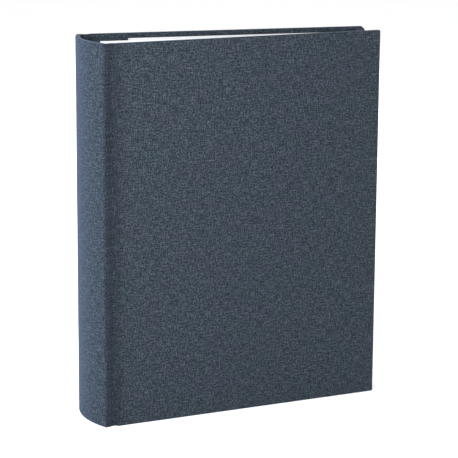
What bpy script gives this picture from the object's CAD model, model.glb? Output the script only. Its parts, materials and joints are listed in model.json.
import json
import math

import bmesh
import bpy
import numpy as np
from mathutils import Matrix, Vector


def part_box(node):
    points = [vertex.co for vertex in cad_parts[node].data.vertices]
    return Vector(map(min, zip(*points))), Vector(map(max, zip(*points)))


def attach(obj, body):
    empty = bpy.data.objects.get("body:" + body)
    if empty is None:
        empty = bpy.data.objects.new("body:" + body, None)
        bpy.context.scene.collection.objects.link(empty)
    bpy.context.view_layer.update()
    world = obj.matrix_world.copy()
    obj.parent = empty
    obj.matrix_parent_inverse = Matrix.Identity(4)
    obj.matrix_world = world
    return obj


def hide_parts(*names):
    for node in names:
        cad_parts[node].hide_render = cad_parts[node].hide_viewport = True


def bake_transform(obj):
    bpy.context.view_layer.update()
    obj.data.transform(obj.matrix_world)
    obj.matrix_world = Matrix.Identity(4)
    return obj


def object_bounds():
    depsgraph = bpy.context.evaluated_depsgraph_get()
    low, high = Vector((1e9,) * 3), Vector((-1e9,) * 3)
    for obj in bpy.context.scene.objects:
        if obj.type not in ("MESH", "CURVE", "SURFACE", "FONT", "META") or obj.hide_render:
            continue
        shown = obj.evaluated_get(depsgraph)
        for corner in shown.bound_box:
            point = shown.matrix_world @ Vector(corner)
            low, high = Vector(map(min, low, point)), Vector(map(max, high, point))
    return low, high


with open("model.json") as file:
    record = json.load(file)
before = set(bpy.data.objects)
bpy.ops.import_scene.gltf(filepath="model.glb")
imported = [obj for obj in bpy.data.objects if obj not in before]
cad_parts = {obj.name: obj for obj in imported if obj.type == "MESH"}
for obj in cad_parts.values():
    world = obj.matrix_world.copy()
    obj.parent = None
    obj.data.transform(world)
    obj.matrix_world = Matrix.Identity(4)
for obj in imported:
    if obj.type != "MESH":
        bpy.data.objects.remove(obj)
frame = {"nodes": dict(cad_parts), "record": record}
cadLow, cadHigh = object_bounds()
mm = 0.001

# the album's own measures, read from the frame where it holds them
rearNormal = next(m["axis"] for m in frame["record"]["mounts"] if m["name"] == "rear_face")
spineLow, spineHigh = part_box("spine_cloth")

album = {
    "height": cadHigh.z - cadLow.z,
    "width": 250 * mm,                       # shoulder to fore-edge
    "spineWidth": spineHigh.y - spineLow.y,
    "bulge": 9 * mm,
    "lean": math.atan2(rearNormal[0], rearNormal[1]),
    "coverThickness": 3.4 * mm,
    "boardStart": 10.4 * mm,                 # where the board begins, past the groove
    "foldLine": 7.34 * mm,
    "turnIn": 15 * mm,
    "headGap": 3 * mm,
}
shoulderX = cadHigh.x - album["width"] * math.cos(album["lean"])
leanCos, leanSin = math.cos(album["lean"]), math.sin(album["lean"])


def frontPlace(p):
    # u along the cover, v into the album, z up
    u, v, z = p[:, 0], p[:, 1], p[:, 2]
    return np.stack([shoulderX + u * leanCos - v * leanSin,
                     -album["spineWidth"] / 2 + u * leanSin + v * leanCos, z], 1)


def rearPlace(p):
    q = frontPlace(p)
    return q * [1, -1, 1]


def frontPoint(u, v, z=0.0):
    return Vector(frontPlace(np.array([[u, v, z]]))[0])


def rearPoint(u, v, z=0.0):
    return Vector(rearPlace(np.array([[u, v, z]]))[0])


def faceOutward(mesh):
    bm = bmesh.new()
    bm.from_mesh(mesh)
    bmesh.ops.recalc_face_normals(bm, faces=bm.faces)
    bm.to_mesh(mesh)
    bm.free()


def finishMesh(name, verts, faces, uvs):
    mesh = bpy.data.meshes.new(name)
    mesh.from_pydata([tuple(v) for v in verts], [], faces)
    layer = mesh.uv_layers.new(name="weave")
    layer.data.foreach_set("uv", np.asarray(uvs, float).ravel())
    obj = bpy.data.objects.new(name, mesh)
    bpy.context.collection.objects.link(obj)
    faceOutward(mesh)
    mesh.polygons.foreach_set("use_smooth", [True] * len(mesh.polygons))
    return obj


def gridLines(low, high, radius, steps, between, extra=()):
    # lines crowd into the rounded rim at both ends
    rim = [radius - radius * math.tan(math.pi / 4 * k / steps) for k in range(steps, -1, -1)]
    inner = np.linspace(low + radius, high - radius, between + 1)[1:-1]
    lines = [low + r for r in rim] + list(inner) + [high - r for r in reversed(rim)] + list(extra)
    return np.array(sorted(set(round(x, 8) for x in lines)))


def roundedSlab(name, low, high, radius, between, place, extra=((), (), ()), soften=None, rimSteps=3):
    # a box with rounded edges, gridded so that it can be bent; UVs are in metres on every side
    low, high = np.array(low, float), np.array(high, float)
    lines = [gridLines(low[i], high[i], radius, rimSteps, between[i], extra[i]) for i in range(3)]
    index, points, faces, uvs = {}, [], [], []

    def corner(i, j, k):
        key = (i, j, k)
        if key not in index:
            index[key] = len(points)
            points.append((lines[0][i], lines[1][j], lines[2][k]))
        return index[key]

    for axis in range(3):
        a, b = [x for x in range(3) if x != axis]
        for end in (0, len(lines[axis]) - 1):
            for i in range(len(lines[a]) - 1):
                for j in range(len(lines[b]) - 1):
                    quad = []
                    for di, dj in ((0, 0), (1, 0), (1, 1), (0, 1)):
                        key = [0, 0, 0]
                        key[axis], key[a], key[b] = end, i + di, j + dj
                        quad.append(corner(*key))
                        uvs.append((lines[a][i + di], lines[b][j + dj]))
                    faces.append(quad)
    p = np.array(points)
    core = np.clip(p, low + radius, high - radius)
    away = p - core
    p = core + away / np.maximum(np.linalg.norm(away, axis=1, keepdims=True), 1e-12) * radius
    if soften is not None:
        p = soften(p)
    return finishMesh(name, place(p), faces, uvs)


def ripple(a, c, size, depth, seed):
    # slow uneven swelling, the same each run
    rng = np.random.default_rng(seed)
    total = np.zeros_like(a)
    for k in range(6):
        direction = rng.uniform(0, 2 * math.pi)
        wave = 2 * math.pi / (size * rng.uniform(0.7, 1.6))
        total += np.sin((a * math.cos(direction) + c * math.sin(direction)) * wave + rng.uniform(0, 6.3))
    return total / 6 * depth


def extrudeOutline(name, outline, low, high, steps, place, rim):
    # a closed outline in (u, v) run up the album's height, a little drawn in at both ends
    outline = np.array(outline, float)
    centre = outline.mean(0)
    lengths = np.r_[0, np.cumsum(np.linalg.norm(np.roll(outline, -1, 0) - outline, axis=1))]
    levels = [low, low + rim * 0.3, low + rim] + list(np.linspace(low + rim, high - rim, steps + 1)[1:-1])
    levels += [high - rim, high - rim * 0.3, high]
    pull = [rim, rim * 0.3, 0] + [0] * (steps - 1) + [0, rim * 0.3, rim]
    n = len(outline)
    points, faces, uvs = [], [], []
    for z, inward in zip(levels, pull):
        away = outline - centre
        span = np.maximum(np.linalg.norm(away, axis=1, keepdims=True), 1e-9)
        ring = outline - away / span * inward
        points += [(x, y, z) for x, y in ring]
    for i in range(len(levels) - 1):
        for j in range(n):
            k = (j + 1) % n
            faces.append([i * n + j, i * n + k, (i + 1) * n + k, (i + 1) * n + j])
            uvs += [(lengths[j], levels[i]), (lengths[j + 1], levels[i]),
                    (lengths[j + 1], levels[i + 1]), (lengths[j], levels[i + 1])]
    for start in (0, (len(levels) - 1) * n):
        faces.append([start + j for j in range(n)])
        uvs += [tuple(outline[j]) for j in range(n)]
    return finishMesh(name, place(np.array(points)), faces, uvs)


def vertexPlaces(obj):
    points = np.empty(len(obj.data.vertices) * 3)
    obj.data.vertices.foreach_get("co", points)
    return points.reshape(-1, 3)


def coverMeasure(points):
    # u and v of points near either cover, from its own shoulder
    dx, dy = points[:, 0] - shoulderX, album["spineWidth"] / 2 - np.abs(points[:, 1])
    return dx * leanCos + dy * leanSin, dy * leanCos - dx * leanSin


def setPressed(obj, values):
    attribute = obj.data.attributes.new("pressed", "FLOAT", "POINT")
    attribute.data.foreach_set("value", np.asarray(values, float))


def setMaterial(obj, material):
    obj.data.materials.clear()
    obj.data.materials.append(material)


def newTree(name):
    material = bpy.data.materials.new(name)
    material.use_nodes = True
    tree = material.node_tree
    return material, tree, tree.nodes["Principled BSDF"]


def link(tree, source, target):
    tree.links.new(source, target)


def mathNode(tree, operation, a, b=None, c=None, clamp=False):
    node = tree.nodes.new("ShaderNodeMath")
    node.operation = operation
    node.use_clamp = clamp
    for slot, value in zip(node.inputs, (a, b, c)):
        if value is None:
            continue
        if isinstance(value, (int, float)):
            slot.default_value = value
        else:
            link(tree, value, slot)
    return node.outputs[0]


def scaledVector(tree, vector, scale):
    node = tree.nodes.new("ShaderNodeVectorMath")
    node.operation = "MULTIPLY"
    link(tree, vector, node.inputs[0])
    node.inputs[1].default_value = scale
    return node.outputs[0]


def noiseNode(tree, vector, scale, detail=2.0, roughness=0.5):
    node = tree.nodes.new("ShaderNodeTexNoise")
    link(tree, vector, node.inputs["Vector"])
    node.inputs["Scale"].default_value = scale
    node.inputs["Detail"].default_value = detail
    node.inputs["Roughness"].default_value = roughness
    return node.outputs["Fac"]


def groupSocket(group, name, direction, kind, value=None):
    socket = group.interface.new_socket(name=name, in_out=direction, socket_type=kind)
    if value is not None:
        socket.default_value = value
    return socket


def weaveGroup():
    # plain weave of uneven yarn: Tone is how light a thread is, Drift a slow change in it,
    # and Height the threads' relief
    group = bpy.data.node_groups.new("linenWeave", "ShaderNodeTree")
    groupSocket(group, "Vector", "INPUT", "NodeSocketVector")
    groupSocket(group, "Threads per metre", "INPUT", "NodeSocketFloat", 1400.0)
    groupSocket(group, "Slub", "INPUT", "NodeSocketFloat", 0.5)
    groupSocket(group, "Fleck", "INPUT", "NodeSocketFloat", 0.5)
    groupSocket(group, "Tone", "OUTPUT", "NodeSocketFloat")
    groupSocket(group, "Drift", "OUTPUT", "NodeSocketFloat")
    groupSocket(group, "Height", "OUTPUT", "NodeSocketFloat")
    source = group.nodes.new("NodeGroupInput")
    target = group.nodes.new("NodeGroupOutput")
    scale = group.nodes.new("ShaderNodeVectorMath")
    scale.operation = "SCALE"
    link(group, source.outputs["Vector"], scale.inputs[0])
    link(group, source.outputs["Threads per metre"], scale.inputs["Scale"])
    threads = scale.outputs[0]
    parts = group.nodes.new("ShaderNodeSeparateXYZ")
    link(group, threads, parts.inputs[0])
    across = mathNode(group, "SINE", mathNode(group, "MULTIPLY", parts.outputs[0], math.pi))
    along = mathNode(group, "SINE", mathNode(group, "MULTIPLY", parts.outputs[1], math.pi))
    crossing = mathNode(group, "MULTIPLY", across, along)
    checker = mathNode(group, "MULTIPLY_ADD", crossing, 2.5, 0.5, clamp=True)   # 1 where the warp is on top
    warp = noiseNode(group, scaledVector(group, threads, (1.0, 0.14, 0)), 0.9, 2.0, 0.6)
    weft = noiseNode(group, scaledVector(group, threads, (0.12, 1.0, 0)), 0.9, 2.0, 0.6)
    mix = group.nodes.new("ShaderNodeMix")
    link(group, checker, mix.inputs["Factor"])
    link(group, weft, mix.inputs["A"])
    link(group, warp, mix.inputs["B"])
    slub = mathNode(group, "MULTIPLY", mathNode(group, "SUBTRACT", mix.outputs["Result"], 0.5),
                    source.outputs["Slub"])
    fleck = noiseNode(group, threads, 0.62, 2.0, 0.65)
    fleck = mathNode(group, "MULTIPLY", mathNode(group, "SUBTRACT", fleck, 0.5), source.outputs["Fleck"])
    tone = mathNode(group, "ADD", mathNode(group, "ADD", slub, fleck), 0.5, clamp=True)
    link(group, tone, target.inputs["Tone"])
    link(group, noiseNode(group, threads, 0.03, 3.0, 0.6), target.inputs["Drift"])
    warpTop = mathNode(group, "MULTIPLY", mathNode(group, "ABSOLUTE", across), checker)
    weftTop = mathNode(group, "MULTIPLY", mathNode(group, "ABSOLUTE", along),
                       mathNode(group, "SUBTRACT", 1.0, checker))
    height = mathNode(group, "ADD", mathNode(group, "ADD", warpTop, weftTop),
                      mathNode(group, "MULTIPLY", tone, 0.8))
    link(group, height, target.inputs["Height"])
    return group


def fibreGroup():
    # pulp fibre: a soft mottle and a fine tooth
    group = bpy.data.node_groups.new("paperFibre", "ShaderNodeTree")
    groupSocket(group, "Vector", "INPUT", "NodeSocketVector")
    groupSocket(group, "Mottle", "OUTPUT", "NodeSocketFloat")
    groupSocket(group, "Tooth", "OUTPUT", "NodeSocketFloat")
    source = group.nodes.new("NodeGroupInput")
    target = group.nodes.new("NodeGroupOutput")
    link(group, noiseNode(group, source.outputs["Vector"], 90, 4.0, 0.6), target.inputs["Mottle"])
    link(group, noiseNode(group, source.outputs["Vector"], 2600, 2.0, 0.6), target.inputs["Tooth"])
    return group


def brushGroup():
    # fine drawn lines along Z, and a slow change in how bright the plating is
    group = bpy.data.node_groups.new("platedSteel", "ShaderNodeTree")
    groupSocket(group, "Vector", "INPUT", "NodeSocketVector")
    groupSocket(group, "Line", "OUTPUT", "NodeSocketFloat")
    groupSocket(group, "Cloud", "OUTPUT", "NodeSocketFloat")
    source = group.nodes.new("NodeGroupInput")
    target = group.nodes.new("NodeGroupOutput")
    drawn = scaledVector(group, source.outputs["Vector"], (1.0, 1.0, 0.02))
    link(group, noiseNode(group, drawn, 5000, 2.0, 0.5), target.inputs["Line"])
    link(group, noiseNode(group, source.outputs["Vector"], 60, 3.0, 0.6), target.inputs["Cloud"])
    return group


weave = weaveGroup()
fibre = fibreGroup()
plated = brushGroup()


def placeGroup(tree, group, vector):
    node = tree.nodes.new("ShaderNodeGroup")
    node.node_tree = group
    link(tree, vector, node.inputs["Vector"])
    return node


def objectCoordinates(tree):
    return tree.nodes.new("ShaderNodeTexCoord").outputs["Object"]


def uvCoordinates(tree):
    node = tree.nodes.new("ShaderNodeUVMap")
    node.uv_map = "weave"
    return node.outputs["UV"]


def rampNode(tree, value, stops):
    node = tree.nodes.new("ShaderNodeValToRGB")
    ramp = node.color_ramp
    while len(ramp.elements) < len(stops):
        ramp.elements.new(0.5)
    for element, (position, colour) in zip(ramp.elements, stops):
        element.position = position
        element.color = (*colour, 1)
    link(tree, value, node.inputs["Fac"])
    return node.outputs["Color"]


def multiplyColour(tree, a, b):
    node = tree.nodes.new("ShaderNodeMix")
    node.data_type = "RGBA"
    node.blend_type = "MULTIPLY"
    node.inputs["Factor"].default_value = 1.0
    # a colour mix keeps its own sockets behind the plain ones
    for slot, value in zip([x for x in node.inputs if x.type == "RGBA"], (a, b)):
        link(tree, value, slot)
    return [x for x in node.outputs if x.type == "RGBA"][0]


def bumpNode(tree, height, strength, distance):
    node = tree.nodes.new("ShaderNodeBump")
    node.inputs["Strength"].default_value = strength
    node.inputs["Distance"].default_value = distance
    link(tree, height, node.inputs["Height"])
    return node.outputs["Normal"]


clothLook = {
    "threadsPerMetre": 1150.0,
    "slub": 1.1,
    "fleck": 1.1,
    "dark": (0.0050, 0.0069, 0.0098),
    "middle": (0.0200, 0.0268, 0.0345),
    "light": (0.0620, 0.0775, 0.0930),
    "coolDrift": (0.95, 1.01, 0.99),
    "warmDrift": (1.03, 0.99, 1.02),
    "relief": 0.00028,
    "pressedLoss": 0.32,
    "roughness": 0.88,
    "specular": 0.12,
    "sheen": 0.16,
    "sheenRoughness": 0.3,
    "sheenTint": (0.42, 0.62, 1.0, 1),
}


def bookCloth(name, look):
    material, tree, shader = newTree(name)
    node = placeGroup(tree, weave, uvCoordinates(tree))
    node.inputs["Threads per metre"].default_value = look["threadsPerMetre"]
    node.inputs["Slub"].default_value = look["slub"]
    node.inputs["Fleck"].default_value = look["fleck"]
    tone = rampNode(tree, node.outputs["Tone"],
                    [(0.25, look["dark"]), (0.5, look["middle"]), (0.78, look["light"])])
    drift = rampNode(tree, node.outputs["Drift"], [(0.38, look["coolDrift"]), (0.62, look["warmDrift"])])
    colour = multiplyColour(tree, tone, drift)
    # 1 where the cloth was pressed into the groove, below 0 where it is rubbed
    pressed = tree.nodes.new("ShaderNodeAttribute")
    pressed.attribute_name = "pressed"
    shade = mathNode(tree, "MULTIPLY_ADD", pressed.outputs["Fac"], -look["pressedLoss"], 1.0)
    shaded = tree.nodes.new("ShaderNodeVectorMath")
    shaded.operation = "SCALE"
    link(tree, colour, shaded.inputs[0])
    link(tree, shade, shaded.inputs["Scale"])
    link(tree, shaded.outputs[0], shader.inputs["Base Color"])
    link(tree, bumpNode(tree, node.outputs["Height"], 0.7, look["relief"]), shader.inputs["Normal"])
    shader.inputs["Roughness"].default_value = look["roughness"]
    shader.inputs["Specular IOR Level"].default_value = look["specular"]
    shader.inputs["Sheen Weight"].default_value = look["sheen"]
    shader.inputs["Sheen Roughness"].default_value = look["sheenRoughness"]
    shader.inputs["Sheen Tint"].default_value = look["sheenTint"]
    return material


def paper(name, colour, mottle, roughness, tooth):
    material, tree, shader = newTree(name)
    node = placeGroup(tree, fibre, objectCoordinates(tree))
    darker = tuple(c * (1 - mottle) for c in colour)
    link(tree, rampNode(tree, node.outputs["Mottle"], [(0.35, darker), (0.65, colour)]),
         shader.inputs["Base Color"])
    link(tree, bumpNode(tree, node.outputs["Tooth"], 0.4, tooth), shader.inputs["Normal"])
    shader.inputs["Roughness"].default_value = roughness
    return material


def metal(name, colour, smooth, rough, line):
    material, tree, shader = newTree(name)
    node = placeGroup(tree, plated, objectCoordinates(tree))
    darker = tuple(c * 0.86 for c in colour)
    link(tree, rampNode(tree, node.outputs["Cloud"], [(0.35, darker), (0.65, colour)]),
         shader.inputs["Base Color"])
    spread = mathNode(tree, "MULTIPLY_ADD", node.outputs["Line"], rough - smooth, smooth)
    link(tree, spread, shader.inputs["Roughness"])
    link(tree, bumpNode(tree, node.outputs["Line"], 0.5, line), shader.inputs["Normal"])
    shader.inputs["Metallic"].default_value = 1.0
    return material


coverCloth = bookCloth("coverCloth", clothLook)
spineLook = dict(clothLook)   # stretched over the curve, so its threads stand out more
spineLook["dark"] = (0.0030, 0.0046, 0.0075)
spineLook["middle"] = (0.0195, 0.0275, 0.0385)
spineLook["light"] = (0.0700, 0.0900, 0.1180)
spineCover = bookCloth("spineCover", spineLook)
liningPaper = paper("liningPaper", (0.046, 0.058, 0.074), 0.12, 0.8, 0.00002)
leafPaper = paper("leafPaper", (0.50, 0.50, 0.495), 0.05, 0.6, 0.00001)
whiteCard = paper("whiteCard", (0.66, 0.66, 0.655), 0.03, 0.55, 0.00001)
steel = metal("satinSteel", (0.46, 0.46, 0.465), 0.25, 0.45, 0.00001)
brightSteel = metal("brightSteel", (0.60, 0.60, 0.61), 0.08, 0.2, 0.000002)
print("materials made")

# cloth glued round a board and turned in over its inner face
cover = {
    "edgeRadius": 0.9 * mm,
    "lines": (70, 2, 84),
    "nearCorner": [1.3, 1.9, 2.6, 3.2],
    "nearGroove": [11.6, 12.3, 13.2, 14.4, 15.9, 17.6, 19.6],
    "liningStart": 11.9 * mm,
    "liningSink": 0.5 * mm,
    "swell": 0.10 * mm,
    "swellSize": 60 * mm,
    "pressedReach": 3.4 * mm,
    "pressedMost": 1.15,
    "swellFade": 6 * mm,
    "foldShare": 0.45,       # how far the corner is drawn in; at a half its faces would lie on one line
}


def coverSoften(seed, headFold, tailFold):
    def soften(p):
        u, v, z = p[:, 0], p[:, 1], p[:, 2]
        depth = v / album["coverThickness"]
        inside = ((u > cover["liningStart"]) & (u < album["width"] - album["turnIn"])
                  & (z > album["turnIn"]) & (z < album["height"] - album["turnIn"]) & (depth > 0.5))
        out = p.copy()
        fade = np.clip(np.minimum.reduce([u - album["boardStart"], album["width"] - u,
                                          z, album["height"] - z]) / cover["swellFade"], 0, 1)
        out[:, 1] += ripple(u, z, cover["swellSize"], cover["swell"], seed) * fade * (1 - depth)
        out[:, 1] -= inside * cover["liningSink"]
        for fold, height, inward in ((tailFold, album["height"] - z, 1), (headFold, z, -1)):
            past = (u - album["width"] + fold) + (height - album["height"] + fold) - fold
            corner = (u > album["width"] - fold) & (height > album["height"] - fold)
            cut = np.maximum(past, 0) * cover["foldShare"] * corner
            out[:, 0] -= cut
            out[:, 2] += cut * inward
        return out
    return soften


def edgePair(x):
    return [x - 0.05 * mm, x + 0.05 * mm]


def makeCover(name, place, seed, headFold, tailFold):
    nearCorner = [x * mm for x in cover["nearCorner"]]
    uLines = edgePair(cover["liningStart"]) + edgePair(album["width"] - album["turnIn"])
    uLines += [x * mm for x in cover["nearGroove"]]
    uLines += [album["width"] - x for x in nearCorner]
    zLines = edgePair(album["turnIn"]) + edgePair(album["height"] - album["turnIn"])
    zLines += nearCorner
    zLines += [album["height"] - x for x in nearCorner]
    piece = roundedSlab(name, (album["boardStart"], 0, 0),
                        (album["width"], album["coverThickness"], album["height"]),
                        cover["edgeRadius"], cover["lines"], place, (uLines, [], zLines),
                        coverSoften(seed, headFold, tailFold))
    setMaterial(piece, coverCloth)
    u, v = coverMeasure(vertexPlaces(piece))
    setPressed(piece, np.exp(-np.maximum(u - album["boardStart"], 0) / cover["pressedReach"])
               * (v < album["coverThickness"] / 2) * cover["pressedMost"])
    return piece


frontCover = makeCover("frontCoverCloth", frontPlace, 3, 1.2 * mm, 1.3 * mm)
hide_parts("front_cloth", "front_board")
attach(frontCover, "front_cover")
rearCover = makeCover("rearCoverCloth", rearPlace, 8, 3.2 * mm, 1.4 * mm)
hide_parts("rear_cloth", "rear_board")
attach(rearCover, "rear_cover")
print("covers made")

# a rounded strip between the two covers' faces
spine = {
    "endTilt": math.radians(18),      # its ends fall away into the grooves
    "thickness": 3.9 * mm,
    "edgeRadius": 0.6 * mm,
    "lines": (64, 2, 84),
    "nearEnd": (0.75, 1.0, 1.3, 1.7, 2.1, 2.6),   # mm from each end
    "swell": 0.12 * mm,
    "swellSize": 70 * mm,
    "swellFade": 8 * mm,
    "facetStart": 1.0 * mm,
    "facetBlend": 0.35 * mm,
    "rubbedLine": 1.4 * mm,
    "rubbedHalf": 0.4 * mm,
}
arcRadius = (album["spineWidth"] ** 2 / 4 + album["bulge"] ** 2) / (2 * album["bulge"])
arcCentreX = shoulderX - album["bulge"] + arcRadius


def spineHalfAngle(depth):
    # where a curve at this depth meets a cover's outer face
    radius = arcRadius - depth
    tilt = album["lean"] + spine["endTilt"]
    reach = album["spineWidth"] / 2 * math.cos(tilt) - (arcCentreX - shoulderX) * math.sin(tilt)
    return np.arcsin(reach / radius) + tilt


def spinePlace(p):
    # slab u runs from -1 to 1 times half the strip's length, v is the depth below the outer curve
    halfLength = arcRadius * spineHalfAngle(0.0)
    radius = arcRadius - p[:, 1]
    angle = p[:, 0] / halfLength * spineHalfAngle(p[:, 1])
    return np.stack([arcCentreX - radius * np.cos(angle), radius * np.sin(angle), p[:, 2]], 1)


def spineSoften(p):
    out = p.copy()
    fade = np.clip(np.minimum(p[:, 2], album["height"] - p[:, 2]) / spine["swellFade"], 0, 1)
    swell = ripple(p[:, 0], p[:, 2], spine["swellSize"], spine["swell"], 5)
    out[:, 1] += swell * fade * (1 - p[:, 1] / spine["thickness"])
    return out


spineHalf = arcRadius * spineHalfAngle(0.0)
nearEnds = [side * (spineHalf - x * mm) for x in spine["nearEnd"] for side in (-1, 1)]
spineCloth = roundedSlab("spineCloth", (-spineHalf, 0, 0), (spineHalf, spine["thickness"], album["height"]),
                         spine["edgeRadius"], spine["lines"], spinePlace, (nearEnds, [], []), spineSoften)
setMaterial(spineCloth, spineCover)
u, v = coverMeasure(vertexPlaces(spineCloth))
facet = np.clip((u + spine["facetStart"]) / spine["facetBlend"], 0, 1)
# the ridge catches every touch
rubbed = (np.abs(u + spine["rubbedLine"]) < spine["rubbedHalf"]) & (v < 1 * mm)
setPressed(spineCloth, np.where(rubbed, -0.6, 0.9 * facet))
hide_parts("spine_cloth", "spine_board")
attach(spineCloth, "spine")

# the cloth in each groove, which bends as its cover opens
joint = {
    "outerU": [3.1, 4.4, 5.6, 7.4, 9.0, 9.9, 10.5, 11.1, 11.8, 12.4],          # mm from the shoulder
    "outerV": [1.0, 1.75, 2.3, 2.5, 2.15, 1.35, 0.62, 0.16, -0.02, 0.25],      # mm below the face
    "back": 2.7 * mm,
    "ridge": 4.6 * mm,
    "steps": 26,
    "halfWidth": 4.3 * mm,
    "endGap": 0.15 * mm,
    "endRim": 0.35 * mm,
    "levels": 60,
}


def grooveOutline():
    # down from the spine, along the floor and up over the board's edge, then back along the inside
    us = np.linspace(joint["outerU"][0], joint["outerU"][-1], joint["steps"] + 1) * mm
    vs = np.interp(us / mm, joint["outerU"], joint["outerV"]) * mm
    side = np.clip((us - album["foldLine"]) / joint["halfWidth"], -1, 1)
    inner = joint["back"] + (joint["ridge"] - joint["back"]) * np.cos(side * math.pi / 2) ** 0.8
    return list(zip(us, vs)) + list(zip(us, inner))[::-1]


def makeJoint(name, place, point):
    piece = extrudeOutline(name, grooveOutline(), joint["endGap"], album["height"] - joint["endGap"],
                           joint["levels"], place, joint["endRim"])
    setMaterial(piece, coverCloth)
    u, v = coverMeasure(vertexPlaces(piece))
    setPressed(piece, np.interp(u / mm, [9.0, 12.0], [1.0, 0.75]))
    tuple(point(4.6 * mm, 2 * mm))
    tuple(point(10.0 * mm, 2 * mm))
    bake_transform(piece)
    return piece


makeJoint("frontJointCloth", frontPlace, frontPoint)
makeJoint("rearJointCloth", rearPlace, rearPoint)
print("spine and joints made")

# card sheets with slots for the rings, a few to each group
leaf = {
    "start": 40 * mm,
    "end": 244 * mm,
    "firstDepth": 10.4 * mm,
    "groupStep": 3.15 * mm,
    "groupDepth": 3.0 * mm,
    "groups": 6,
    "sheets": 6,
    "sheetDepth": 0.42 * mm,
    "slack": 0.5 * mm,
    "slotDepth": 5 * mm,
    "slotStart": 42.95 * mm,
    "slotEnd": 56.94 * mm,
    "ringHeights": (37.5 * mm, 117.5 * mm, 197.5 * mm, 277.5 * mm),
}


def slottedSheet(name):
    # one sheet lying at depth 0 of its group
    zLines = [album["headGap"] + leaf["slack"]]
    for height in leaf["ringHeights"]:
        zLines += [height - leaf["slotDepth"] / 2, height + leaf["slotDepth"] / 2]
    zLines.append(album["height"] - album["headGap"] - leaf["slack"])
    uLines = [leaf["start"] + leaf["slack"], leaf["slotStart"], leaf["slotEnd"], leaf["end"] - leaf["slack"]]
    bm = bmesh.new()
    corners = [[bm.verts.new((u, 0, z)) for z in zLines] for u in uLines]
    for i in range(3):
        for j in range(len(zLines) - 1):
            if i == 1 and j % 2 == 1:
                continue
            bm.faces.new([corners[i][j], corners[i + 1][j], corners[i + 1][j + 1], corners[i][j + 1]])
    made = bmesh.ops.extrude_face_region(bm, geom=bm.faces[:])
    for v in [g for g in made["geom"] if isinstance(g, bmesh.types.BMVert)]:
        v.co.y += leaf["sheetDepth"]
    bmesh.ops.recalc_face_normals(bm, faces=bm.faces)
    mesh = bpy.data.meshes.new(name)
    bm.to_mesh(mesh)
    bm.free()
    obj = bpy.data.objects.new(name, mesh)
    bpy.context.collection.objects.link(obj)
    return obj


def stackGroup():
    # copies of a sheet side by side, each a little out of line
    group = bpy.data.node_groups.new("leafStack", "GeometryNodeTree")
    groupSocket(group, "Geometry", "INPUT", "NodeSocketGeometry")
    groupSocket(group, "Sheets", "INPUT", "NodeSocketInt", leaf["sheets"])
    groupSocket(group, "Step", "INPUT", "NodeSocketFloat", 0.0005)
    groupSocket(group, "First", "INPUT", "NodeSocketFloat", 0.0)
    groupSocket(group, "Slack", "INPUT", "NodeSocketFloat", 0.0004)
    groupSocket(group, "Seed", "INPUT", "NodeSocketInt", 0)
    groupSocket(group, "Material", "INPUT", "NodeSocketMaterial")
    groupSocket(group, "Geometry", "OUTPUT", "NodeSocketGeometry")
    nodes = group.nodes
    source, target = nodes.new("NodeGroupInput"), nodes.new("NodeGroupOutput")
    line = nodes.new("GeometryNodeMeshLine")
    step = nodes.new("ShaderNodeCombineXYZ")
    first = nodes.new("ShaderNodeCombineXYZ")
    link(group, source.outputs["Step"], step.inputs["Y"])
    link(group, source.outputs["First"], first.inputs["Y"])
    link(group, source.outputs["Sheets"], line.inputs["Count"])
    link(group, first.outputs[0], line.inputs["Start Location"])
    link(group, step.outputs[0], line.inputs["Offset"])
    spread = nodes.new("FunctionNodeRandomValue")
    spread.data_type = "FLOAT_VECTOR"
    low, high = nodes.new("ShaderNodeCombineXYZ"), nodes.new("ShaderNodeCombineXYZ")
    negative = mathNode(group, "MULTIPLY", source.outputs["Slack"], -1.0)
    for axis in ("X", "Z"):
        link(group, negative, low.inputs[axis])
        link(group, source.outputs["Slack"], high.inputs[axis])
    vectors = [s for s in spread.inputs if s.type == "VECTOR"]
    link(group, low.outputs[0], vectors[0])
    link(group, high.outputs[0], vectors[1])
    link(group, source.outputs["Seed"], spread.inputs["Seed"])
    shifted = nodes.new("GeometryNodeSetPosition")
    link(group, line.outputs["Mesh"], shifted.inputs["Geometry"])
    link(group, [s for s in spread.outputs if s.type == "VECTOR"][0], shifted.inputs["Offset"])
    copies = nodes.new("GeometryNodeInstanceOnPoints")
    link(group, shifted.outputs["Geometry"], copies.inputs["Points"])
    link(group, source.outputs["Geometry"], copies.inputs["Instance"])
    real = nodes.new("GeometryNodeRealizeInstances")
    link(group, copies.outputs["Instances"], real.inputs["Geometry"])
    paint = nodes.new("GeometryNodeSetMaterial")
    link(group, real.outputs["Geometry"], paint.inputs["Geometry"])
    link(group, source.outputs["Material"], paint.inputs["Material"])
    link(group, paint.outputs["Geometry"], target.inputs["Geometry"])
    return group


def convert(obj, group, values):
    # set the named inputs, evaluate once and keep the plain mesh
    modifier = obj.modifiers.new("nodes", "NODES")
    modifier.node_group = group
    for socket in group.interface.items_tree:
        if getattr(socket, "in_out", "") == "INPUT" and socket.name in values:
            modifier[socket.identifier] = values[socket.name]
    obj.update_tag()
    graph = bpy.context.evaluated_depsgraph_get()
    graph.update()
    mesh = bpy.data.meshes.new_from_object(obj.evaluated_get(graph))
    obj.modifiers.clear()
    obj.data = mesh
    return obj


def placeMesh(obj, place):
    obj.data.vertices.foreach_set("co", place(vertexPlaces(obj)).ravel())
    obj.data.update()
    faceOutward(obj.data)


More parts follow.
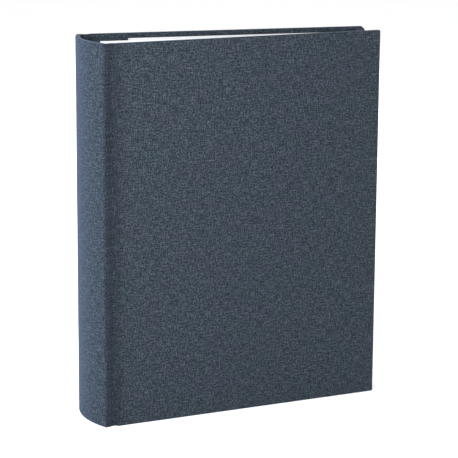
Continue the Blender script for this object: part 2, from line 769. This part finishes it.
leafStack = stackGroup()
for number in range(leaf["groups"], 0, -1):
    depth = leaf["firstDepth"] + (leaf["groups"] - number) * leaf["groupStep"]
    piece = slottedSheet(f"leaves{number}")
    gap = (leaf["groupDepth"] - leaf["sheetDepth"]) / (leaf["sheets"] - 1)
    convert(piece, leafStack, {"Sheets": leaf["sheets"], "Step": gap, "First": depth,
                               "Slack": leaf["slack"] * 0.9, "Seed": number, "Material": leafPaper})
    placeMesh(piece, rearPlace)
    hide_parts(f"leaf_group_{number}")
    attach(piece, f"leaf_group_{number}")
print("leaves made")

view = {
    "azimuth": -21.443,
    "elevation": 12.353,
    "roll": 0.383,
    "place": (-0.58901, -1.50028, 0.50328),
    "lens": 154.38,
}


def makeCamera():
    data = bpy.data.cameras.new("camera")
    data.lens = view["lens"]
    data.sensor_width = 36
    camera = bpy.data.objects.new("camera", data)
    bpy.context.collection.objects.link(camera)
    a, e = math.radians(view["azimuth"]), math.radians(view["elevation"])
    back = Vector((math.sin(a) * math.cos(e), -math.cos(a) * math.cos(e), math.sin(e)))
    camera.location = view["place"]
    camera.rotation_euler = (-back).to_track_quat("-Z", "Y").to_euler()
    camera.rotation_euler.rotate_axis("Z", math.radians(view["roll"]))
    bpy.context.scene.camera = camera


lights = {
    "world": 1.06,
    "key": {"place": (-0.50, -0.53, 0.50), "size": 0.45, "power": 9.5, "colour": (0.95, 0.98, 1.05)},
    "back": {"place": (0.9, 1.7, 1.2), "size": 1.6, "power": 22.0, "colour": (1.0, 1.0, 1.0)},
    "fill": {"place": (0.6, -2.0, 2.0), "size": 1.8, "power": 3.0, "colour": (1.0, 1.0, 1.0)},
}


def makeLight(name, look):
    data = bpy.data.lights.new(name, "AREA")
    data.size = look["size"]
    data.energy = look["power"]
    data.color = look["colour"]
    light = bpy.data.objects.new(name, data)
    bpy.context.collection.objects.link(light)
    light.location = look["place"]
    aim = Vector((0, 0, 0.15)) - Vector(look["place"])
    light.rotation_euler = aim.to_track_quat("-Z", "Y").to_euler()


def makeStudio():
    scene = bpy.context.scene
    scene.view_settings.view_transform = "Standard"
    world = bpy.data.worlds.new("studio")
    scene.world = world
    world.use_nodes = True
    background = world.node_tree.nodes["Background"]
    background.inputs["Color"].default_value = (1, 1, 1, 1)
    background.inputs["Strength"].default_value = lights["world"]
    for name in ("key", "fill", "back"):
        makeLight(name, lights[name])
    bpy.ops.mesh.primitive_plane_add(size=12, location=(0, 0, 0))
    floor = bpy.context.object
    floor.name = "floor"
    material, _, shader = newTree("paleFloor")
    shader.inputs["Base Color"].default_value = (0.93, 0.93, 0.93, 1)
    shader.inputs["Roughness"].default_value = 1.0
    shader.inputs["Specular IOR Level"].default_value = 0.0
    setMaterial(floor, material)


makeCamera()
makeStudio()
print("camera and studio made")

# pieces that keep their shape get their finishes
cadFinish = {
    "rear_endpaper": liningPaper, "front_endpaper": liningPaper, "spine_lining": liningPaper,
    "ring_base": steel, "base_rivets": steel, "lever_pins": steel,
    "curved_plate": steel, "post_plate": steel, "head_lever": steel, "tail_lever": steel,
    "curved_rings": brightSteel, "ring_posts": brightSteel, "front_sheet": whiteCard,
}
for node, material in cadFinish.items():
    setMaterial(frame["nodes"][node], material)
